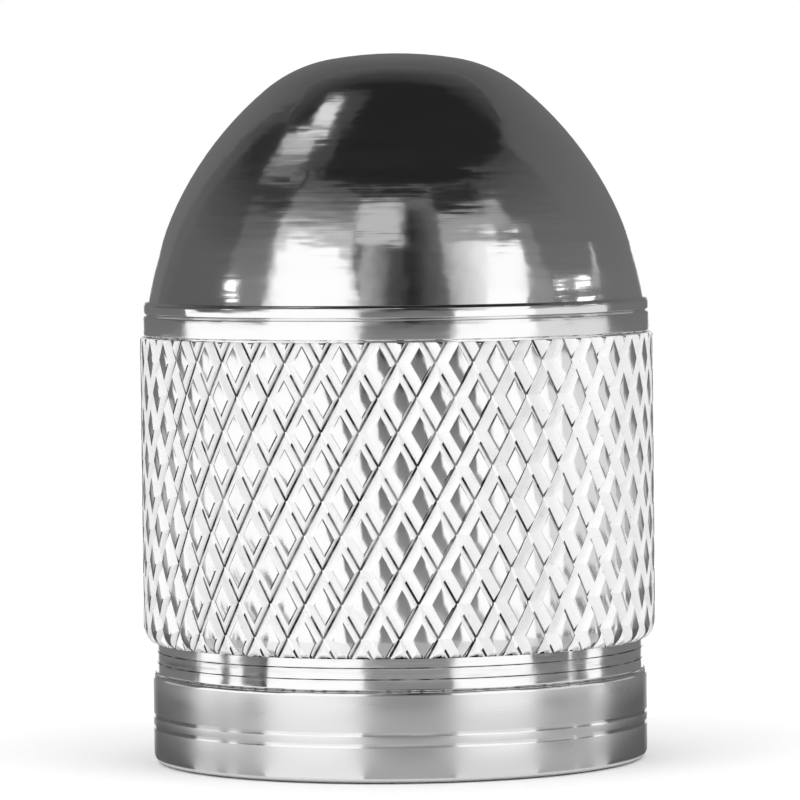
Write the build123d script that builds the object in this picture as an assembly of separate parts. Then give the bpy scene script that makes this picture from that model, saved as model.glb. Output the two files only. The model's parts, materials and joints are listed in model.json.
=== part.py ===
"""Tyre valve cap: a knurled metal body with a rubber sealing washer at the end of its threaded bore.

The cap stands on its open end. The origin lies on the axis in the plane of the base,
and +Z points to the dome.
"""

import os
from math import ceil, cos, degrees, pi, radians, sin, tan

from build123d import *

# Driving dimensions, in millimetres and degrees

# Threaded bore for the valve stem, at the thread's major diameter
thread_major_diameter = 7.8
thread_length = 7.9
mouth_countersink = 0.3

# Relief behind the thread that holds the washer, and the drill's mark above the washer's flat seat
relief_depth = 0.25
pilot_drill_diameter = 3.2
pilot_drill_depth = 0.4
drill_point_angle = 118.0

# Sealing washer
washer_thickness = 1.2
washer_inner_diameter = 3.8
washer_clearance = 0.05
washer_end_play = 0.1
washer_edge_bevel = 0.1

# Plain collar round the mouth
collar_wall = 1.02
collar_height = 1.77
collar_base_bevel = 0.15
collar_shoulder_bevel = 0.09

# Neck groove between the collar and the grip
neck_depth = 0.08
neck_height = 0.62

# Knurled grip: two crossed sets of V grooves that leave flat-topped diamonds standing
knurl_standout = 0.18
knurl_length = 6.06
knurl_pitch = 0.66
knurl_angle = 30.0
knurl_depth = 0.14
knurl_groove_width = 0.31
knurl_edge_depth = 0.22
knurl_edge_height = 0.36

# Fine groove that the knurl runs out into, and the rim between it and the dome
rim_groove_width = 0.04
rim_groove_depth = 0.03
rim_inset = 0.05
rim_height = 0.42
rim_step = 0.11
rim_bevel = 0.21

# Dome: a flat crown arc, a tighter shoulder arc and a long flank arc, each tangent to the next
dome_height = 4.91
crown_radius = 7.5
crown_angle = 9.6
shoulder_radius = 2.76
shoulder_angle = 30.1

# How far a tool passes beyond the surface that it cuts
tool_overrun = 0.5

# Radii and heights that follow from the driving dimensions
bore_radius = thread_major_diameter / 2
relief_radius = bore_radius + relief_depth
collar_radius = bore_radius + collar_wall
neck_radius = collar_radius - neck_depth
knurl_radius = collar_radius + knurl_standout
root_radius = knurl_radius - knurl_depth
rim_radius = knurl_radius - rim_inset
dome_radius = rim_radius - rim_step

seat_level = thread_length + washer_thickness + washer_end_play
knurl_base = collar_height + neck_height
grip_middle = knurl_base + knurl_length / 2
knurl_top = knurl_base + knurl_length
rim_base = knurl_top + rim_groove_width
rim_top = rim_base + rim_height
dome_base = rim_top + rim_bevel
cap_top = dome_base + dome_height

# The whole number of diamonds round the grip, half the angle that each takes, and the height of a row
knurl_slope = radians(knurl_angle)
knurl_count = round(2 * pi * knurl_radius * cos(knurl_slope) / knurl_pitch)
half_turn = pi / knurl_count
row_height = knurl_radius * half_turn / tan(knurl_slope)


def revolved(*edges):
    """Turn a closed outline, drawn as radius and height, about the cap's axis."""
    return revolve(Plane.XZ * make_face(edges), Axis.Z)


def dome_arcs():
    """The dome's crown, shoulder and flank from the top of the cap down to the dome's base."""
    crown = JernArc((0, cap_top), (1, 0), crown_radius, -crown_angle)
    shoulder = JernArc(crown @ 1, crown % 1, shoulder_radius, -shoulder_angle)
    flank = TangentArc(shoulder @ 1, (dome_radius, dome_base), tangent=shoulder % 1)
    return [crown, shoulder, flank]


def turned_outside():
    """The bar turned to its collar, neck, rim and dome, and down to a core inside the grip."""
    groove_radius = root_radius - rim_groove_depth
    side = Polyline(
        (0, cap_top),
        (0, 0),
        (collar_radius - collar_base_bevel, 0),
        (collar_radius, collar_base_bevel),
        (collar_radius, collar_height - collar_shoulder_bevel),
        (collar_radius - collar_shoulder_bevel, collar_height),
        (neck_radius, collar_height),
        (neck_radius, grip_middle),
        (groove_radius, grip_middle),
        (groove_radius, rim_base),
        (rim_radius, rim_base),
        (rim_radius, rim_top),
        (dome_radius, dome_base),
    )
    return revolved(*side.edges(), *dome_arcs())


def diamond_faces(turn, level):
    """One diamond of the knurl: four groove flanks that rise to a top of two facets."""
    middle = Vector(1, 0, 0).rotate(Axis.Z, degrees(turn))
    lift = Vector(0, 0, level)
    foot = [
        middle.rotate(Axis.Z, -degrees(half_turn)) * root_radius + lift,
        middle * root_radius + lift - Vector(0, 0, row_height),
        middle.rotate(Axis.Z, degrees(half_turn)) * root_radius + lift,
        middle * root_radius + lift + Vector(0, 0, row_height),
    ]
    shrink = 1 - knurl_groove_width / (2 * half_turn * knurl_radius * cos(knurl_slope))
    top = [
        middle * knurl_radius + lift + (corner - middle * root_radius - lift) * shrink
        for corner in foot
    ]
    flanks = [(foot[i - 1], foot[i], top[i], top[i - 1]) for i in range(len(foot))]
    facets = [(top[0], top[1], top[3]), (top[1], top[2], top[3])]
    return foot, [Face(Wire.make_polygon(corners)) for corners in flanks + facets]


def knurled_bar():
    """A bar knurled past both ends of the grip, with rows of diamonds from the middle up and down."""
    rows_each_way = ceil(knurl_length / 2 / row_height) + 1
    faces = []
    for row in range(-rows_each_way, rows_each_way + 1):
        level = grip_middle + row * row_height
        for place in range(knurl_count):
            foot, diamond = diamond_faces((2 * place + row % 2) * half_turn, level)
            faces += diamond
            if abs(row) == rows_each_way:
                end = foot[1] if row < 0 else foot[3]
                middle = Vector(0, 0, end.Z)
                faces += [Face(Wire.make_polygon((side, end, middle))) for side in (foot[0], foot[2])]
    return Solid(Shell(faces))


def grip():
    """The knurled length of the bar, square at the rim and bevelled in small flats at its lower edge."""
    lower_radius = knurl_radius - knurl_edge_depth
    upper_radius = lower_radius + knurl_length * knurl_edge_depth / knurl_edge_height
    turns = [corner * half_turn for corner in range(2 * knurl_count)]
    reach = ConvexPolyhedron(
        [
            (radius * cos(turn), radius * sin(turn), level)
            for radius, level in ((lower_radius, knurl_base), (upper_radius, knurl_top))
            for turn in turns
        ]
    )
    return reach & knurled_bar()


def bore():
    """The threaded bore with its countersunk mouth, the relief behind it and the drill's mark."""
    pilot_radius = pilot_drill_diameter / 2
    pilot_top = seat_level + pilot_drill_depth
    drill_tip = pilot_top + pilot_radius / tan(radians(drill_point_angle / 2))
    wall = Polyline(
        (0, -tool_overrun),
        (bore_radius + mouth_countersink + tool_overrun, -tool_overrun),
        (bore_radius, mouth_countersink),
        (bore_radius, thread_length),
        (relief_radius, thread_length),
        (relief_radius, seat_level),
        (pilot_radius, seat_level),
        (pilot_radius, pilot_top),
        (0, drill_tip),
        close=True,
    )
    return revolved(*wall.edges())


def cap_body():
    """The metal cap: the turned bar and its knurled grip as one piece, bored from below."""
    return turned_outside() + grip() - bore()


def sealing_washer():
    """The rubber ring that lies against the flat seat at the end of the bore."""
    outer_radius = relief_radius - washer_clearance
    inner_radius = washer_inner_diameter / 2
    ring = Cylinder(outer_radius, washer_thickness) - Cylinder(inner_radius, washer_thickness)
    lower_edges = ring.edges().group_by(Axis.Z)[0]
    return Pos(0, 0, seat_level - washer_thickness / 2) * chamfer(lower_edges, washer_edge_bevel)


os.makedirs("parts", exist_ok=True)
export_step(cap_body(), "parts/cap_body.step")
export_step(sealing_washer(), "parts/sealing_washer.step")
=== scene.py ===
"""The look of the tyre valve cap: a turned metal body with a diamond knurl, its thread and its washer."""

import json
from math import atan2, ceil, cos, hypot, pi, radians, sin, tan

import bmesh
import bpy
from mathutils import Matrix, Vector


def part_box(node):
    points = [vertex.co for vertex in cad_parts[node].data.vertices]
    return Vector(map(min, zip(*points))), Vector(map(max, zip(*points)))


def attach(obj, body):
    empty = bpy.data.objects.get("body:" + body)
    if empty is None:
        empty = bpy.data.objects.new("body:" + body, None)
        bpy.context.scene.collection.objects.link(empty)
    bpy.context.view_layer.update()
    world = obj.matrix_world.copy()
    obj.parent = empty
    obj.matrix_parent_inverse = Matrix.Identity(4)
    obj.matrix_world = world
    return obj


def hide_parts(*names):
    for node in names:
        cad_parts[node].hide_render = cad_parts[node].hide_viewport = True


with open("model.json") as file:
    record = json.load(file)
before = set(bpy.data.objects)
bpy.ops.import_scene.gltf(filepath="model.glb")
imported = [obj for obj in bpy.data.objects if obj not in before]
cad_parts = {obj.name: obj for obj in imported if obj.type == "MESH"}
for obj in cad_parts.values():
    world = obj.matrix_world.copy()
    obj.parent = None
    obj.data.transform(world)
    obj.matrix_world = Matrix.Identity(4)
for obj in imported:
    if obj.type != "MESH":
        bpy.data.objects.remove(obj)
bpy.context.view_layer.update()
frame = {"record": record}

# Every piece is modelled in millimetres and brought to metres when it is finished
MM = 0.001

# Sizes that the frame gives
body_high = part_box("cap_body")[1] / MM
washer_low, washer_high = (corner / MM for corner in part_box("sealing_washer"))
stem_bore = next(m for m in frame["record"]["mounts"] if m["name"] == "valve_stem_bore")
cap_top = body_high.z
knurl_radius = body_high.x
bore_radius = stem_bore["dims"]["r_mm"]
bore_middle = stem_bore["pos_m"][2] / MM
bore_half = stem_bore["dims"]["length_mm"] / 2
thread_end = bore_middle + bore_half
mouth_countersink = bore_middle - bore_half
washer_radius = washer_high.x
seat_level = washer_high.z

# Collar and neck
collar_radius = 4.92
collar_height = 1.77
collar_foot_round = 0.17
collar_shoulder_round = 0.09
neck_radius = 4.84
neck_fillet = 0.04
knurl_base = 2.39

# Fine lines that the turning tool left, as heights
neck_lines = (2.21, 1.99)
collar_lines = (0.94, 0.72)
neck_line_depth = 0.01
neck_line_width = 0.022
collar_line_depth = 0.008
collar_line_width = 0.08

# Bore
mouth_round = 0.03
relief_radius = 4.15
pilot_radius = 1.6
pilot_depth = 0.4
drill_point = radians(118)

# Knurl
knurl_count = 42
knurl_angle = radians(30)
knurl_depth = 0.14
wide_groove = 0.4
narrow_groove = 0.27
groove_floor = 0.045
knurl_length = 6.06
knurl_edge_depth = 0.22
knurl_edge_height = 0.36
knurl_edge_flats = 4
knurl_edge_reach = radians(84.6)
knurl_top_bevel = 0.025
diamond_edge_bevel = 0.02
narrow_groove_skew = 0.08
wide_groove_skew = 0.08

# Rim between the knurl and the dome
rim_groove_radius = 4.93
rim_base_gap = 0.04
rim_radius = 5.05
rim_height = 0.38
rim_edge_round = 0.03
bead_groove_radius = 4.99
bead_groove_width = 0.06
bead_radius = 5.04
bead_height = 0.2
bead_round = 0.08
bead_base_round = 0.02
bead_groove_round = 0.01
dome_radius = 4.94
dome_base = 9.16

# Dome arcs
crown_arc_radius = 7.5
crown_arc = radians(9.6)
shoulder_arc_radius = 2.76
shoulder_arc = radians(30.1)

# Thread of the valve stem, 32 turns to the inch
thread_pitch = 25.4 / 32
thread_crest_radius = 3.45
thread_crest_width = 0.1
thread_flank = radians(30)
thread_sunk = 0.03

# Washer
washer_inner_radius = 1.9
washer_round = 0.12

# Mesh steps
turn_steps = 252
arc_step = radians(2.5)
round_steps = 4
thread_steps = 96
merge_gap = 0.002
smooth_angle = radians(30)

# Shares of a face's normal that tell a flat top, the grip's underside and the sides of a fine line
flat_top = 0.995
underside = 0.6
line_tilt = 0.1

# Noise in the finishes, as waves in each metre along X, Y and Z, and the range that it mostly keeps to
turning_marks = (150, 150, 16000)
broad_streaks = (400, 400, 2500)
soft_waves = (1200, 1200, 1200)
groove_grain = (5000, 5000, 5000)
# Noise that breaks up the painted dark lines of shade
shade_line_breaks = (2500, 2500, 2500)
rubber_grain = (9000, 9000, 9000)
floor_mottle = (300, 300, 300)
noise_low = 0.3
noise_high = 0.7

# Sizes that follow
root_radius = knurl_radius - knurl_depth
half_pitch = pi * root_radius / knurl_count
row_height = pi * knurl_radius / knurl_count / tan(knurl_angle)
knurl_top = knurl_base + knurl_length
knurl_middle = knurl_base + knurl_length / 2
rim_base = knurl_top + rim_base_gap


# Tools of the bench

def edit():
    bpy.ops.object.mode_set(mode="EDIT")


def leave_edit():
    bpy.ops.object.mode_set(mode="OBJECT")


def pick(*pieces):
    """Select these pieces and nothing else, with the first of them active."""
    bpy.ops.object.select_all(action="DESELECT")
    for piece in pieces:
        piece.select_set(True)
    bpy.context.view_layer.objects.active = pieces[0]


def apply_modifier(piece, kind, **settings):
    """Put a modifier on a piece, set it and apply it."""
    pick(piece)
    modifier = piece.modifiers.new(kind.title(), kind)
    for setting, value in settings.items():
        setattr(modifier, setting, value)
    bpy.ops.object.modifier_apply(modifier=modifier.name)


def select_edges(piece, wanted):
    """In edit mode, select just the edges that are wanted."""
    bpy.ops.mesh.select_mode(type="EDGE")
    bpy.ops.mesh.select_all(action="DESELECT")
    mesh = bmesh.from_edit_mesh(piece.data)
    for edge in mesh.edges:
        edge.select_set(wanted(edge))
    bmesh.update_edit_mesh(piece.data)


def close_seams(piece):
    """Merge the doubles of the whole piece and turn its faces outwards."""
    pick(piece)
    edit()
    bpy.ops.mesh.select_all(action="SELECT")
    bpy.ops.mesh.remove_doubles(threshold=merge_gap)
    bpy.ops.mesh.normals_make_consistent(inside=False)
    leave_edit()


def arc(start, heading, radius, bend):
    """Points along an arc that leaves start at a heading and turns by bend, and the heading at its end."""
    steps = max(2, ceil(abs(bend) / arc_step))
    chord = 2 * radius * sin(abs(bend) / steps / 2)
    r, z = start
    points = []
    for _ in range(steps):
        heading += bend / steps / 2
        r += chord * cos(heading)
        z += chord * sin(heading)
        heading += bend / steps / 2
        points.append((r, z))
    return points, heading


def rounded(corners):
    """An outline through corners, each a radius, a height and how far it is rounded."""
    points = []
    for before, corner, after in zip([corners[0], *corners], corners, [*corners[1:], corners[-1]]):
        r, z, size = corner
        way_in = atan2(z - before[1], r - before[0])
        way_out = atan2(after[1] - z, after[0] - r)
        bend = (way_out - way_in + pi) % (2 * pi) - pi
        if not size or corner in (corners[0], corners[-1]):
            points.append((r, z))
            continue
        cut = abs(size * tan(bend / 2))
        start = (r - cut * cos(way_in), z - cut * sin(way_in))
        chord = 2 * size * sin(abs(bend) / round_steps / 2)
        points.append(start)
        heading = way_in + bend / round_steps / 2
        for _ in range(round_steps):
            last_r, last_z = points[-1]
            points.append((last_r + chord * cos(heading), last_z + chord * sin(heading)))
            heading += bend / round_steps
    return points


def draw(name, points):
    """A new piece that is one chain of edges through points, each a radius and a height."""
    bpy.ops.object.select_all(action="DESELECT")
    bpy.ops.mesh.primitive_plane_add(size=1)
    piece = bpy.context.object
    piece.name = name
    edit()
    bpy.ops.mesh.select_mode(type="VERT")
    bpy.ops.mesh.merge(type="CENTER")
    bpy.ops.transform.translate(value=(points[0][0], 0, points[0][1]))
    for (r, z), (next_r, next_z) in zip(points, points[1:]):
        bpy.ops.mesh.extrude_region_move(TRANSFORM_OT_translate={"value": (next_r - r, 0, next_z - z)})
    leave_edit()
    return piece


def turn(name, points):
    """A piece turned about the axis from an outline."""
    piece = draw(name, points)
    edit()
    bpy.ops.mesh.select_all(action="SELECT")
    bpy.ops.mesh.spin(steps=turn_steps, angle=2 * pi, center=(0, 0, 0), axis=(0, 0, 1))
    leave_edit()
    close_seams(piece)
    return piece


# Finishes

def new_material(name):
    """An empty material with its shader, and a way to add nodes to it."""
    material = bpy.data.materials.new(name)
    material.use_nodes = True
    tree = material.node_tree
    return material, tree.nodes, tree.links, tree.nodes["Principled BSDF"]


def stretched_noise(nodes, links, stretch, detail):
    """Noise on the object's own coordinates, drawn out round the axis as a turning tool leaves it."""
    place = nodes.new("ShaderNodeTexCoord")
    mapping = nodes.new("ShaderNodeMapping")
    mapping.inputs["Scale"].default_value = stretch
    noise = nodes.new("ShaderNodeTexNoise")
    noise.inputs["Scale"].default_value = 1.0
    noise.inputs["Detail"].default_value = detail
    links.new(place.outputs["Object"], mapping.inputs["Vector"])
    links.new(mapping.outputs["Vector"], noise.inputs["Vector"])
    return noise.outputs["Fac"]


def graded(nodes, links, value, low, high):
    """A value brought into the range from low to high."""
    grade = nodes.new("ShaderNodeMapRange")
    grade.inputs["From Min"].default_value = noise_low
    grade.inputs["From Max"].default_value = noise_high
    grade.inputs["To Min"].default_value = low
    grade.inputs["To Max"].default_value = high
    links.new(value, grade.inputs["Value"])
    return grade.outputs["Result"]


def bumped(nodes, links, shader, layers):
    """Press layers of noise into the surface, each with its stretch, detail and depth."""
    normal = shader.inputs["Normal"]
    for stretch, detail, depth in layers:
        bump = nodes.new("ShaderNodeBump")
        bump.inputs["Strength"].default_value = 1.0
        bump.inputs["Distance"].default_value = depth
        links.new(stretched_noise(nodes, links, stretch, detail), bump.inputs["Height"])
        links.new(bump.outputs["Normal"], normal)
        normal = bump.inputs["Normal"]


def turned_metal(name, colour, smooth, rough, mark_depth, streak_depth=0.0, wave_depth=0.0):
    """Bright metal with turning marks round the axis, broader streaks, soft waves and a varied polish."""
    material, nodes, links, shader = new_material(name)
    shader.inputs["Base Color"].default_value = (*colour, 1)
    shader.inputs["Metallic"].default_value = 1.0
    slow = stretched_noise(nodes, links, broad_streaks, 3)
    links.new(graded(nodes, links, slow, smooth, rough), shader.inputs["Roughness"])
    layers = [(turning_marks, 4, mark_depth)]
    if streak_depth:
        layers.append((broad_streaks, 2, streak_depth))
    if wave_depth:
        layers.append((soft_waves, 2, wave_depth))
    bumped(nodes, links, shader, layers)
    return material


def grained(nodes, links, shader, stretch, smooth, rough, depth):
    """Let one grain vary the polish between smooth and rough and press it into the surface."""
    grain = stretched_noise(nodes, links, stretch, 3)
    links.new(graded(nodes, links, grain, smooth, rough), shader.inputs["Roughness"])
    bump = nodes.new("ShaderNodeBump")
    bump.inputs["Distance"].default_value = depth
    links.new(grain, bump.inputs["Height"])
    links.new(bump.outputs["Normal"], shader.inputs["Normal"])


def groove_metal(name, colour, metal):
    """Pressed metal in the grooves of the knurl, matt and a little uneven."""
    material, nodes, links, shader = new_material(name)
    shader.inputs["Base Color"].default_value = (*colour, 1)
    shader.inputs["Metallic"].default_value = metal
    shader.inputs["Specular IOR Level"].default_value = 0.3
    grained(nodes, links, shader, groove_grain, 0.25, 0.45, 0.000004)
    return material


def painted_shade_line(name):
    """A dark line of painted shade for the floors of grooves and fine lines, and of painted dark reflection
    along one edge of the knurl's tops, broken here and there.
    """
    material, nodes, links, shader = new_material(name)
    shader.inputs["Specular IOR Level"].default_value = 0.1
    shader.inputs["Roughness"].default_value = 0.6
    breakup = stretched_noise(nodes, links, shade_line_breaks, 3)
    shade = nodes.new("ShaderNodeValToRGB")
    shade.color_ramp.elements[0].position = 0.42
    shade.color_ramp.elements[0].color = (0.02, 0.02, 0.02, 1)
    shade.color_ramp.elements[1].position = 0.68
    shade.color_ramp.elements[1].color = (0.3, 0.3, 0.3, 1)
    links.new(breakup, shade.inputs["Fac"])
    links.new(shade.outputs["Color"], shader.inputs["Base Color"])
    return material


def black_rubber():
    """Soft black rubber with a fine grain."""
    material, nodes, links, shader = new_material("black_rubber")
    shader.inputs["Base Color"].default_value = (0.02, 0.02, 0.021, 1)
    grained(nodes, links, shader, rubber_grain, 0.55, 0.75, 0.00002)
    return material


# The fourth finish is dark painted shade for grooves and fine lines, with a painted dark reflection on one
# edge of the knurl's tops
dome_finish, top_finish, wall_finish, shade_line_finish, collar_finish, bore_finish = range(6)
finishes = [
    turned_metal("polished_dome", (0.86, 0.86, 0.86), 0.08, 0.17, 0.0000014, 0.000017, 0.000012),
    turned_metal("knurl_top", (0.86, 0.86, 0.86), 0.14, 0.22, 0.0000006),
    groove_metal("knurl_wall", (0.93, 0.93, 0.93), 0.3),
    painted_shade_line("knurl_line"),
    turned_metal("satin_collar", (0.78, 0.78, 0.78), 0.26, 0.34, 0.000001),
    turned_metal("bored_metal", (0.72, 0.72, 0.72), 0.3, 0.4, 0.000001),
]


# The cap's body

def fine_line(radius, level, depth, width):
    """Corners of one fine turned line in a wall that runs downwards."""
    return [
        (radius, level + width / 2, 0.0),
        (radius - depth, level, 0.0),
        (radius, level - width / 2, 0.0),
    ]


def dome_outline():
    """From the top of the dome down to the fine groove above the knurl."""
    crown, heading = arc((0, cap_top), 0, crown_arc_radius, -crown_arc)
    shoulder, heading = arc(crown[-1], heading, shoulder_arc_radius, -shoulder_arc)
    across, down = dome_radius - shoulder[-1][0], dome_base - shoulder[-1][1]
    lean = atan2(down, across) - heading
    flank, _ = arc(shoulder[-1], heading, hypot(across, down) / 2 / sin(-lean), 2 * lean)
    rim_top = rim_base + rim_height
    bead_base = rim_top + bead_groove_width
    rim = rounded([
        (dome_radius, dome_base, 0.0),
        (bead_radius, bead_base + bead_height, bead_round),
        (bead_radius, bead_base, bead_base_round),
        (bead_groove_radius, rim_top + bead_groove_width / 2, bead_groove_round),
        (rim_radius, rim_top, rim_edge_round),
        (rim_radius, rim_base, rim_edge_round),
        (rim_groove_radius, rim_base, 0.0),
        (rim_groove_radius, knurl_top, 0.0),
    ])
    return [(0, cap_top), *crown, *shoulder, *flank[:-1], *rim]


def foot_outline():
    """From the neck under the knurl down the collar, and up the bore to the drill's point."""
    drill_tip = seat_level + pilot_depth + pilot_radius / tan(drill_point / 2)
    in_neck = [fine_line(neck_radius, level, neck_line_depth, neck_line_width) for level in neck_lines]
    in_collar = [
        fine_line(collar_radius, level, collar_line_depth, collar_line_width)
        for level in collar_lines
    ]
    return rounded([
        (neck_radius, knurl_base, 0.0),
        *(corner for line in in_neck for corner in line),
        (neck_radius, collar_height, neck_fillet),
        (collar_radius, collar_height, collar_shoulder_round),
        *(corner for line in in_collar for corner in line),
        (collar_radius, 0, collar_foot_round),
        (bore_radius + mouth_countersink, 0, mouth_round),
        (bore_radius, mouth_countersink, mouth_round),
        (bore_radius, thread_end, mouth_round),
        (relief_radius, thread_end, 0.0),
        (relief_radius, seat_level, mouth_round),
        (pilot_radius, seat_level, mouth_round),
        (pilot_radius, seat_level + pilot_depth, 0.0),
        (0, drill_tip, 0.0),
    ])


def raised_diamond():
    """One diamond of the knurl on the flat, a plate in XZ that is raised towards -Y between half grooves.

    The grooves that lean left are wide and the ones that lean right are narrow. The dark lines are painted
    shade on the floors of the grooves, apart from where the wide ones cross the narrow ones, and a painted
    dark reflection on one edge of the top.
    """
    bpy.ops.object.select_all(action="DESELECT")
    bpy.ops.mesh.primitive_circle_add(vertices=4, radius=1, fill_type="NGON", rotation=(pi / 2, 0, 0))
    diamond = bpy.context.object
    diamond.name = "knurl"
    bpy.ops.object.transform_apply(rotation=True)
    for finish in finishes:
        diamond.data.materials.append(finish)
    diamond.active_material_index = wall_finish
    edit()
    bpy.ops.mesh.select_all(action="SELECT")
    bpy.ops.transform.resize(value=(half_pitch, 1, row_height), center_override=(0, 0, 0))
    bpy.ops.object.material_slot_assign()
    bpy.ops.mesh.inset(thickness=groove_floor / 2)
    bpy.ops.mesh.inset(thickness=(narrow_groove - groove_floor) / 2)
    diamond.active_material_index = top_finish
    bpy.ops.object.material_slot_assign()
    bpy.ops.transform.translate(value=(0, -knurl_depth, 0))
    crossing = sin(2 * atan2(half_pitch, row_height))
    band_across = Vector((row_height, 0, -half_pitch)).normalized()
    along = Vector((half_pitch, 0, row_height)).normalized() / crossing
    athwart = Vector((half_pitch, 0, -row_height)).normalized() / crossing
    bpy.ops.transform.translate(value=athwart * narrow_groove_skew + along * wide_groove_skew)
    widen = (wide_groove - narrow_groove) / 2
    for side in (-1, 1):
        select_edges(diamond, lambda edge: borders_wide_groove(edge, side))
        bpy.ops.transform.translate(value=along * widen * -side)
    bpy.ops.mesh.select_mode(type="FACE")
    bpy.ops.mesh.select_all(action="DESELECT")
    mesh = bmesh.from_edit_mesh(diamond.data)
    for face in mesh.faces:
        face.select_set(face.material_index == top_finish)
    bmesh.update_edit_mesh(diamond.data)
    bpy.ops.mesh.bevel(offset=diamond_edge_bevel, segments=1, affect="EDGES")
    bpy.ops.mesh.select_all(action="SELECT")
    bpy.ops.mesh.subdivide(number_cuts=1)
    band_edge = band_across * (narrow_groove / 2 + narrow_groove_skew - half_pitch * cos(knurl_angle))
    bpy.ops.mesh.select_all(action="SELECT")
    bpy.ops.mesh.bisect(plane_co=band_edge, plane_no=band_across)
    leave_edit()
    # Painted shade on the groove floors and a painted dark reflection along one edge of each top
    for face in diamond.data.polygons:
        in_groove = face.center.y > -merge_gap
        in_band = (face.center - band_edge).dot(band_across) < 0
        in_wide_groove = face.center.x * face.center.z > 0
        on_edge = face.center.y < diamond_edge_bevel - knurl_depth and face.normal.y > -flat_top
        painted_dark_edge = on_edge and face.normal.x > 0 and face.normal.z < 0
        if painted_dark_edge or in_groove and not (in_band and in_wide_groove):
            face.material_index = shade_line_finish
    return diamond


def borders_wide_groove(edge, side):
    """Whether an edge of the raised top lies along the wide groove on one side, -1 left or 1 right."""
    one, other = (vertex.co for vertex in edge.verts)
    raised = max(one.y, other.y) < -knurl_depth / 2
    leans_left = (one.x - other.x) * (one.z - other.z) < 0
    return raised and leans_left and (one.x + other.x) * side > 0


def edge_flats():
    """Flats round the grip's lower edge, each a height on it and its radius and slope there."""
    for flat in range(knurl_edge_flats + 1):
        turned = knurl_edge_reach * flat / knurl_edge_flats
        level = knurl_base + knurl_edge_height * (1 - sin(turned))
        radius = knurl_radius - knurl_edge_depth * (1 - cos(turned))
        slope = knurl_edge_depth * sin(turned) / (knurl_edge_height * cos(turned))
        yield level, radius, slope


def press_to_flat(sheet, level, radius, slope):
    """Cut the unrolled knurl along a flat and bring what stands proud of it down to it."""
    edit()
    bpy.ops.mesh.select_all(action="SELECT")
    bpy.ops.mesh.bisect(plane_co=(0, root_radius - radius, level), plane_no=(0, -1, -slope))
    leave_edit()
    for vertex in sheet.data.vertices:
        reach = radius + slope * (vertex.co.z - level) - root_radius
        vertex.co.y = max(vertex.co.y, -reach)


def knurl():
    """The knurled grip: diamonds in rows on a flat sheet, cut to length and rolled up round the axis."""
    sheet = raised_diamond()
    edit()
    bpy.ops.mesh.select_all(action="SELECT")
    bpy.ops.mesh.duplicate_move(TRANSFORM_OT_translate={"value": (half_pitch, 0, row_height)})
    row_pairs = ceil(knurl_length / 2 / (2 * row_height)) + 1
    bpy.ops.mesh.select_all(action="SELECT")
    bpy.ops.transform.translate(value=(half_pitch, 0, knurl_middle - 2 * row_pairs * row_height))
    leave_edit()
    steps = (((2 * half_pitch, 0, 0), knurl_count), ((0, 0, 2 * row_height), 2 * row_pairs + 1))
    for step, count in steps:
        apply_modifier(
            sheet,
            "ARRAY",
            count=count,
            use_relative_offset=False,
            use_constant_offset=True,
            constant_offset_displace=step,
        )
    close_seams(sheet)
    for level, radius, slope in edge_flats():
        press_to_flat(sheet, level, radius, slope)
    press_to_flat(sheet, knurl_top - knurl_top_bevel, knurl_radius, -1)
    for face in sheet.data.polygons:
        if face.normal.z < -underside and face.center.z < knurl_base + knurl_edge_height:
            face.material_index = wall_finish
    edit()
    bpy.ops.mesh.select_all(action="SELECT")
    bpy.ops.mesh.bisect(plane_co=(0, 0, knurl_base), plane_no=(0, 0, 1), clear_inner=True)
    bpy.ops.mesh.select_all(action="SELECT")
    bpy.ops.mesh.bisect(plane_co=(0, 0, knurl_top), plane_no=(0, 0, 1), clear_outer=True)
    leave_edit()
    across = [vertex.co.x for vertex in sheet.data.vertices]
    apply_modifier(
        sheet,
        "SIMPLE_DEFORM",
        deform_method="BEND",
        deform_axis="Z",
        angle=(max(across) - min(across)) / root_radius,
    )
    edit()
    bpy.ops.mesh.select_all(action="SELECT")
    bpy.ops.transform.translate(value=(0, -root_radius, 0))
    leave_edit()
    close_seams(sheet)
    return sheet


def turned_finish(face):
    """The finish of a turned face: polished, bored, satin on the collar or painted shade in a fine line of
    the neck.
    """
    reach = hypot(face.center.x, face.center.y)
    level = face.center.z
    tilted = abs(face.normal.z) > line_tilt
    if reach >= collar_radius + merge_gap:
        return dome_finish
    if reach < relief_radius + merge_gap and level < seat_level + pilot_radius:
        return bore_finish
    if level < collar_height - collar_shoulder_round:
        return dome_finish if tilted and level > collar_foot_round else collar_finish
    # The sides of the neck's fine lines get painted shade
    if tilted and collar_height + neck_fillet < level < knurl_base - merge_gap:
        return shade_line_finish
    return dome_finish


def cap_body():
    """Dome, knurl and foot joined into one closed skin."""
    body = turn("turned_body", dome_outline())
    foot = turn("foot", foot_outline())
    for finish in finishes:
        body.data.materials.append(finish)
        foot.data.materials.append(finish)
    pick(body, foot, knurl())
    bpy.ops.object.join()
    edit()
    for level in (knurl_base, knurl_top):
        select_edges(
            body,
            lambda edge: edge.is_boundary and all(abs(v.co.z - level) < merge_gap for v in edge.verts),
        )
        bpy.ops.mesh.bridge_edge_loops()
    leave_edit()
    close_seams(body)
    for face in body.data.polygons:
        if face.material_index == dome_finish:
            face.material_index = turned_finish(face)
    return body


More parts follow.
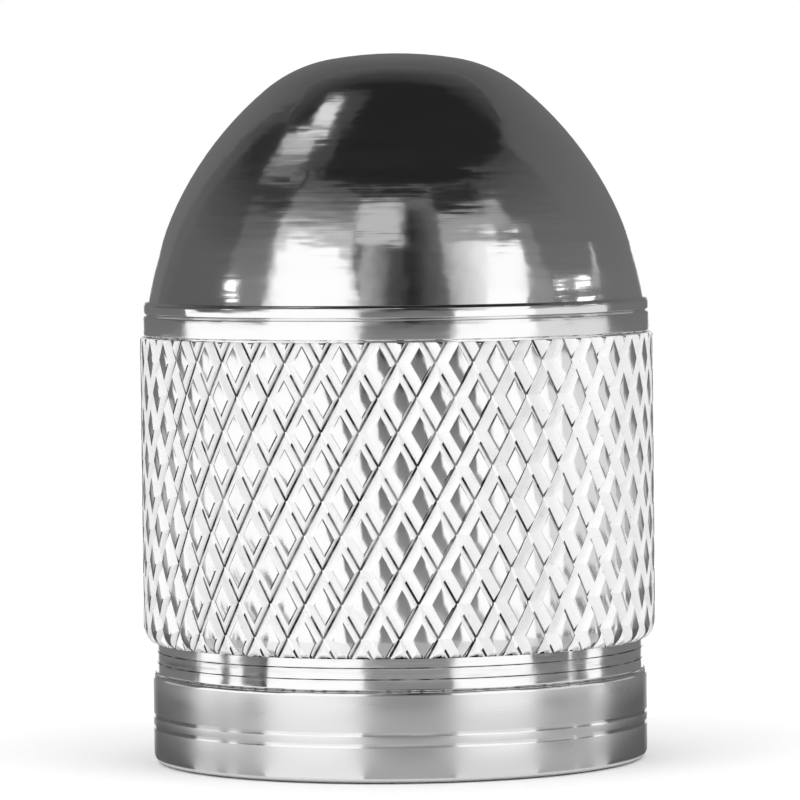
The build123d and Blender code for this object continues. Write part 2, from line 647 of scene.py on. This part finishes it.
def thread_ridge():
    """The stem's thread as one ridge wound up the bore, ground off at the mouth and cut flat at its end."""
    base_radius = bore_radius + thread_sunk
    crest_half = thread_crest_width / 2
    base_half = crest_half + (base_radius - thread_crest_radius) * tan(thread_flank)
    section = [
        (base_radius, -base_half),
        (thread_crest_radius, -crest_half),
        (thread_crest_radius, crest_half),
        (base_radius, base_half),
        (base_radius, -base_half),
    ]
    ridge = draw("thread_ridge", section)
    close_seams(ridge)
    turns = ceil(thread_end / thread_pitch) + 1
    apply_modifier(
        ridge,
        "SCREW",
        angle=2 * pi * turns,
        screw_offset=thread_pitch * turns,
        steps=thread_steps * turns,
        render_steps=thread_steps * turns,
        use_smooth_shade=False,
    )
    edit()
    select_edges(ridge, lambda edge: edge.is_boundary)
    bpy.ops.mesh.edge_face_add()
    leave_edit()
    close_seams(ridge)
    room_radius = base_radius + thread_sunk
    room = turn("thread_room", [
        (thread_crest_radius - thread_sunk, thread_end - thread_sunk),
        (room_radius, thread_end - thread_sunk),
        (room_radius, mouth_countersink - thread_sunk),
        (thread_crest_radius - thread_sunk, mouth_countersink + room_radius - thread_crest_radius),
        (thread_crest_radius - thread_sunk, thread_end - thread_sunk),
    ])
    apply_modifier(ridge, "BOOLEAN", operation="INTERSECT", solver="EXACT", object=room)
    bpy.data.objects.remove(room)
    close_seams(ridge)
    return ridge


def rubber_washer():
    """The flat sealing ring against the end of the bore, with its edges rounded by the mould."""
    middle = (washer_inner_radius + washer_radius) / 2
    return turn("rubber_washer", rounded([
        (middle, washer_low.z, 0.0),
        (washer_radius, washer_low.z, washer_round),
        (washer_radius, washer_high.z, washer_round),
        (washer_inner_radius, washer_high.z, washer_round),
        (washer_inner_radius, washer_low.z, washer_round),
        (middle, washer_low.z, 0.0),
    ]))


def finish_piece(piece):
    """Bring a piece to metres, smooth it, and let it ride on the cap."""
    pick(piece)
    bpy.ops.transform.resize(value=(MM, MM, MM), center_override=(0, 0, 0))
    bpy.ops.object.transform_apply(location=True, rotation=True, scale=True)
    bpy.ops.object.shade_smooth_by_angle(angle=smooth_angle)
    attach(piece, "root")


body = cap_body()
ridge = thread_ridge()
washer = rubber_washer()

ridge.data.materials.append(finishes[bore_finish])
washer.data.materials.append(black_rubber())

finish_piece(body)
finish_piece(ridge)
finish_piece(washer)
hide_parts("cap_body")
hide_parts("sealing_washer")


# Studio, in millimetres from the cap's axis and from the floor
panel_radius = 20
window_radius = 19.7
spot_radius = 19.4
low_top = 2.5
fill_top = 6
middle_top = 10
back_top = 11
left_core_top = 19.2
right_core_top = 20.2
right_window_top = 22
left_window_top = 24
over_window_top = 27
front_top = 30
wall_top = 35
card_lift = 0.03

# Bearings in degrees at which the studio changes, with 0 towards the camera
wall_left_start = -119
side_left = -98.4
box_left_start = -57.4
window_left_start = -54
box_left_end = -14.9
front_middle = 4
box_right_start = 22
window_right_end = 50
box_right_end = 58
side_right = 98.4
fill_right_end = 128
back_right_start = 150
back_right_end = 172
back_left_start = 188
back_left_end = 210
back_left_corner = 230
whole_turn = 360
window_lean = -8

# How many times as far round the floor cards reach at the panels as at the collar that mirrors them
mirror_spread = 1.755

# Steps of the cards
card_step = 4
floor_card_steps = 12
ceiling_sides = 48
floor_sides = 96


def light(name, strength):
    """A light of one brightness all over."""
    material = bpy.data.materials.new(name)
    material.use_nodes = True
    nodes, links = material.node_tree.nodes, material.node_tree.links
    nodes.clear()
    emission = nodes.new("ShaderNodeEmission")
    emission.inputs["Strength"].default_value = strength
    output = nodes.new("ShaderNodeOutputMaterial")
    links.new(emission.outputs["Emission"], output.inputs["Surface"])
    return material


def fading_light(name, axis, start, end, near, far):
    """A light that fades along one axis, from near at start to far at end."""
    material = light(name, near)
    nodes, links = material.node_tree.nodes, material.node_tree.links
    place = nodes.new("ShaderNodeTexCoord")
    split = nodes.new("ShaderNodeSeparateXYZ")
    fade = nodes.new("ShaderNodeMapRange")
    fade.inputs["From Min"].default_value = start * MM
    fade.inputs["From Max"].default_value = end * MM
    fade.inputs["To Min"].default_value = near
    fade.inputs["To Max"].default_value = far
    links.new(place.outputs["Object"], split.inputs["Vector"])
    links.new(split.outputs[axis], fade.inputs["Value"])
    links.new(fade.outputs["Result"], nodes["Emission"].inputs["Strength"])
    return material


def swept_card(name, start, end, near, far, shine, lean=0):
    """A card swept round the cap between two bearings, from one radius and height to another.

    Bearing 0 faces the camera. The far edge leans on by some degrees.
    """
    card = draw(name, [near, far])
    edit()
    bpy.ops.mesh.select_all(action="SELECT")
    bpy.ops.transform.rotate(value=radians(90 - start), orient_axis="Z", center_override=(0, 0, 0))
    bpy.ops.mesh.spin(
        steps=ceil((end - start) / card_step),
        angle=radians(start - end),
        center=(0, 0, 0),
        axis=(0, 0, 1),
    )
    select_edges(card, lambda edge: min(vertex.co.z for vertex in edge.verts) > (near[1] + far[1]) / 2)
    if lean:
        bpy.ops.transform.rotate(value=radians(-lean), orient_axis="Z", center_override=(0, 0, 0))
    leave_edit()
    place_card(card, shine)


def panel(name, start, end, base, top, shine, radius=panel_radius, lean=0):
    """An upright panel between two bearings."""
    swept_card(name, start, end, (radius, base), (radius, top), shine, lean)


def floor_card(name, start, end, shine):
    """A card on the floor from the collar to the panels, with its sides as the collar mirrors them."""
    bpy.ops.object.select_all(action="DESELECT")
    bpy.ops.mesh.primitive_grid_add(x_subdivisions=floor_card_steps, y_subdivisions=2, size=1)
    card = bpy.context.object
    card.name = name
    for vertex in card.data.vertices:
        far = radians(start + (end - start) * (vertex.co.x + 0.5))
        near = far / mirror_spread
        inside = Vector((sin(near), -cos(near), 0)) * collar_radius
        outside = Vector((sin(far), -cos(far), 0)) * panel_radius
        vertex.co = inside.lerp(outside, vertex.co.y + 0.5) + Vector((0, 0, card_lift))
    place_card(card, shine)


def ceiling(name, radius, level, shine):
    """A round card over the cap."""
    bpy.ops.object.select_all(action="DESELECT")
    bpy.ops.mesh.primitive_circle_add(
        vertices=ceiling_sides,
        radius=radius,
        fill_type="NGON",
        location=(0, 0, level),
    )
    card = bpy.context.object
    card.name = name
    place_card(card, shine)


def strip(name, start, end, across, shine):
    """A straight strip light under the ceiling, from start to end."""
    way = Vector(end) - Vector(start)
    bpy.ops.object.select_all(action="DESELECT")
    bpy.ops.mesh.primitive_plane_add(size=1)
    card = bpy.context.object
    card.name = name
    bpy.ops.transform.resize(value=(way.length, across, 1))
    card.rotation_euler = way.to_track_quat("X", "Z").to_euler()
    card.location = (Vector(start) + Vector(end)) / 2
    place_card(card, shine)


def place_card(card, shine):
    """Bring a card to metres and let it be seen in the metal and nowhere else."""
    pick(card)
    bpy.ops.object.transform_apply(location=True, rotation=True, scale=True)
    bpy.ops.transform.resize(value=(MM, MM, MM), center_override=(0, 0, 0))
    bpy.ops.object.transform_apply(location=True, rotation=True, scale=True)
    card.data.materials.append(shine)
    card.visible_camera = False
    card.visible_diffuse = False
    card.visible_shadow = False
    card.visible_transmission = False


softbox = light("softbox_light", 1.15)
half_light = light("half_light", 0.8)
grey_light = light("grey_light", 0.5)
soft_grey = light("soft_grey", 0.31)
window_glow = light("window_glow", 0.36)
reflector = light("reflector_light", 0.56)
dark_flag = light("dark_flag", 0.025)
glow = light("faint_glow", 0.06)
spot = light("spot_light", 5.5)
rail = light("rail_light", 0.16)
floor_bright = light("bright_floor", 1.0)
floor_light = light("light_floor", 0.84)
floor_pale = light("pale_floor_card", 0.66)
floor_grey = light("grey_floor", 0.46)
floor_dark = light("dark_floor", 0.11)
wall = fading_light("grey_wall", "Z", 0, wall_top, 0.2, 0.1)
wall_left = fading_light("left_wall", "Z", 16, 27, 0.12, 0.03)
wall_edge = fading_light("edge_wall", "Z", 16, 27, 0.13, 0.07)
wall_right = fading_light("right_wall", "Z", middle_top, wall_top, 0.2, 0.05)
front = fading_light("dim_front", "Z", 0, middle_top, 0.3, 0.17)
front_left = fading_light("dim_front_left", "X", -5, -0.5, 0.44, 0.06)
front_right = fading_light("dim_front_right", "X", 2.5, 7.5, 0.02, 0.14)
halo_left = fading_light("left_halo", "Z", 14, left_window_top, 0.22, 0.1)
halo_right = fading_light("right_halo", "Z", 12, 24, 0.3, 0.17)
over_front = fading_light("over_front", "Z", front_top, wall_top, 0.2, 0.04)
window_fade = fading_light("fading_window", "X", 7.5, 12.5, 0.38, 0.95)
window_edge = fading_light("window_edge", "Z", 12, left_window_top, 0.95, 0.5)
over_window = fading_light("over_window", "Z", left_window_top, 33, 0.27, 0.08)
overhead = fading_light("ceiling_shade", "Y", 4, 18, 0.018, 0.11)

# Walls all round
panel("wall_back_right", side_right, back_right_start, fill_top, wall_top, wall)
panel("softbox_back_right", back_right_start, back_right_end, 0, back_top, softbox)
panel("gap_back", back_right_end, back_left_start, 0, back_top, wall)
panel("softbox_back_left", back_left_start, back_left_end, 0, back_top, softbox)
panel("wall_back_left", back_left_end, back_left_corner, low_top, wall_top, wall)
panel("wall_edge_left", back_left_corner, whole_turn + wall_left_start, middle_top, wall_top, wall_edge)
panel("wall_far_left", back_left_corner, whole_turn + side_left, fill_top, middle_top, wall)
panel("wall_back_high", back_right_start, back_left_end, back_top, wall_top, wall)
panel("wall_left", wall_left_start, box_left_end, middle_top, wall_top, wall_left)
panel("front_left", box_left_end, front_middle, middle_top, front_top, front_left)
panel("front_right", front_middle, box_right_start, middle_top, front_top, front_right)
panel("over_front", box_left_end, box_right_start, front_top, wall_top, over_front)
panel("wall_right", box_right_start, side_right, middle_top, wall_top, wall_right)
ceiling("ceiling", panel_radius, wall_top, overhead)

# What the neck and the collar mirror: bays round the cap, each up to a bearing, with panel and floor
bays = (
    ("edge_left", side_left, low_top, wall, floor_dark),
    ("strip_left_far", -82.8, low_top, softbox, floor_pale),
    ("gap_left_far", -77.3, low_top, wall, floor_grey),
    ("strip_left", -71, low_top, softbox, floor_pale),
    ("gap_left", -60.6, low_top, wall, floor_grey),
    ("flag_left", box_left_start, low_top, dark_flag, floor_grey),
    ("softbox_left", box_left_end, middle_top, softbox, floor_bright),
    ("front_gap", box_right_start, middle_top, front, floor_grey),
    ("softbox_right", box_right_end, middle_top, softbox, floor_light),
    ("gap_right", 77.3, low_top, wall, floor_grey),
    ("strip_right_thin", 79.1, low_top, softbox, floor_pale),
    ("gap_right_far", 88.3, low_top, wall, floor_grey),
    ("strip_right", side_right, low_top, softbox, floor_pale),
    ("edge_right", back_right_start, low_top, wall, floor_dark),
)
bay_start = back_left_end - whole_turn
for bay, bay_end, top, shine, floor_shine in bays:
    panel(bay, bay_start, bay_end, 0, top, shine)
    floor_card(bay + "_floor", bay_start, bay_end, floor_shine)
    bay_start = bay_end

# What the knurl mirrors
panel("fill_left", side_left, box_left_start, low_top, middle_top, softbox)
panel("fill_left_far", back_left_corner - whole_turn, side_left, low_top, fill_top, grey_light)
panel("fill_right", box_right_end, side_right, low_top, middle_top, half_light)
panel("fill_right_far", side_right, fill_right_end, low_top, fill_top, grey_light)
panel("gap_right_back", fill_right_end, back_right_start, low_top, fill_top, wall)
panel("flag_back_left", back_left_start, back_left_end, low_top, fill_top, wall, window_radius)
panel("flag_back_right", back_right_start, back_right_end, low_top, fill_top, wall, window_radius)

# What the dome mirrors
panel(
    "halo_left", -76, window_left_start, middle_top, left_window_top,
    halo_left, window_radius, window_lean,
)
panel(
    "window_left", window_left_start, -13, middle_top, left_window_top,
    window_edge, window_radius, window_lean,
)
panel("window_left_core", -51.5, -15.5, middle_top, left_core_top, softbox, spot_radius, -5)
panel("window_left_top", -52, -25, left_core_top, 21.4, softbox, spot_radius, -1)
panel("over_window_left", -61, -20, left_window_top, wall_top, over_window, window_radius)
panel("front_reflector", -20, front_middle, 22.5, 31, reflector, window_radius)
panel(
    "window_right", box_right_start, window_right_end, middle_top, right_window_top,
    window_fade, window_radius,
)
panel("window_right_core", 36, 54.6, middle_top, right_core_top, softbox, spot_radius, 7)
panel(
    "over_window_right", box_right_start, 60, right_window_top, over_window_top,
    window_glow, window_radius,
)
panel("halo_right", window_right_end, 70, middle_top, right_window_top, halo_right, window_radius)
panel("over_right", box_right_start, window_right_end, over_window_top, wall_top, dark_flag, window_radius)
panel("spot_left", -77.5, -72, 13.7, 14.2, spot, spot_radius)
panel("spot_right", 73, 77, 13.6, 14, spot, spot_radius)
panel("spot_right_far", 83, 93.5, 13.1, 13.6, spot, spot_radius)
panel("line_right", 96.5, 99.5, 12.5, 16, grey_light, spot_radius, 5)
strip("overhead_glow", (-6.5, 3.5, 34.8), (-17, -8.5, 34.4), 8, glow)
strip("overhead_top", (-12.4, 2.85, 34.5), (-9.25, -0.25, 34.5), 4.4, half_light)
strip("overhead_bright", (-16.6, 1.6, 34.4), (-11.5, -3.7, 34.4), 1.1, softbox)
strip("overhead_middle", (-19.2, 3, 33), (-14.8, -3.8, 34), 3.2, grey_light)
strip("overhead_low", (-19.3, 1.6, 29.2), (-17.6, -5.6, 34), 2, soft_grey)
strip("overhead_end", (-19.3, 0.6, 27), (-17.8, -8, 33), 0.9, soft_grey)
panel("rail_front", -62, 50, 33.6, 34.3, rail, spot_radius)

# Floor, light and camera, in metres
floor_radius = 0.25
floor_drop = 0.00002
lamp_size = 0.16
lamp_power = 0.09
lamp_across = 0.12
lamp_front = -0.1
lamp_height = 0.22
camera_place = Vector((0, -0.116, 0.01245))
camera_aim = Vector((0.00006, 0, 0.00713))
camera_roll = radians(-0.65)
camera_lens = 262.2
camera_sensor = 36
camera_near = 0.001

bpy.ops.object.select_all(action="DESELECT")
bpy.ops.mesh.primitive_circle_add(
    vertices=floor_sides,
    radius=floor_radius,
    fill_type="NGON",
    location=(0, 0, -floor_drop),
)
floor = bpy.context.object
floor.name = "studio_floor"
floor_white, nodes, links, shader = new_material("pale_floor")
shader.inputs["Base Color"].default_value = (0.96, 0.96, 0.96, 1)
shader.inputs["Specular IOR Level"].default_value = 0.0
floor_grain = stretched_noise(nodes, links, floor_mottle, 2)
links.new(graded(nodes, links, floor_grain, 0.9, 1.0), shader.inputs["Roughness"])
floor.data.materials.append(floor_white)

world = bpy.data.worlds.new("white_studio")
world.use_nodes = True
world.node_tree.nodes["Background"].inputs["Color"].default_value = (1, 1, 1, 1)
world.node_tree.nodes["Background"].inputs["Strength"].default_value = 1.0
bpy.context.scene.world = world

for lamp_name, side in (("lamp_left", -1), ("lamp_right", 1)):
    lamp = bpy.data.lights.new(lamp_name, "AREA")
    lamp.shape = "DISK"
    lamp.size = lamp_size
    lamp.energy = lamp_power
    holder = bpy.data.objects.new(lamp_name, lamp)
    holder.location = (side * lamp_across, lamp_front, lamp_height)
    holder.rotation_euler = (-holder.location).to_track_quat("-Z", "Y").to_euler()
    holder.visible_camera = False
    holder.visible_glossy = False
    bpy.context.scene.collection.objects.link(holder)

view = bpy.data.cameras.new("photo_view")
view.sensor_width = camera_sensor
view.lens = camera_lens
view.clip_start = camera_near
camera = bpy.data.objects.new("photo_view", view)
camera.matrix_world = (
    Matrix.Translation(camera_place)
    @ (camera_aim - camera_place).to_track_quat("-Z", "Y").to_matrix().to_4x4()
    @ Matrix.Rotation(camera_roll, 4, "Z")
)
bpy.context.scene.collection.objects.link(camera)
bpy.context.scene.camera = camera
bpy.context.scene.view_settings.view_transform = "Standard"
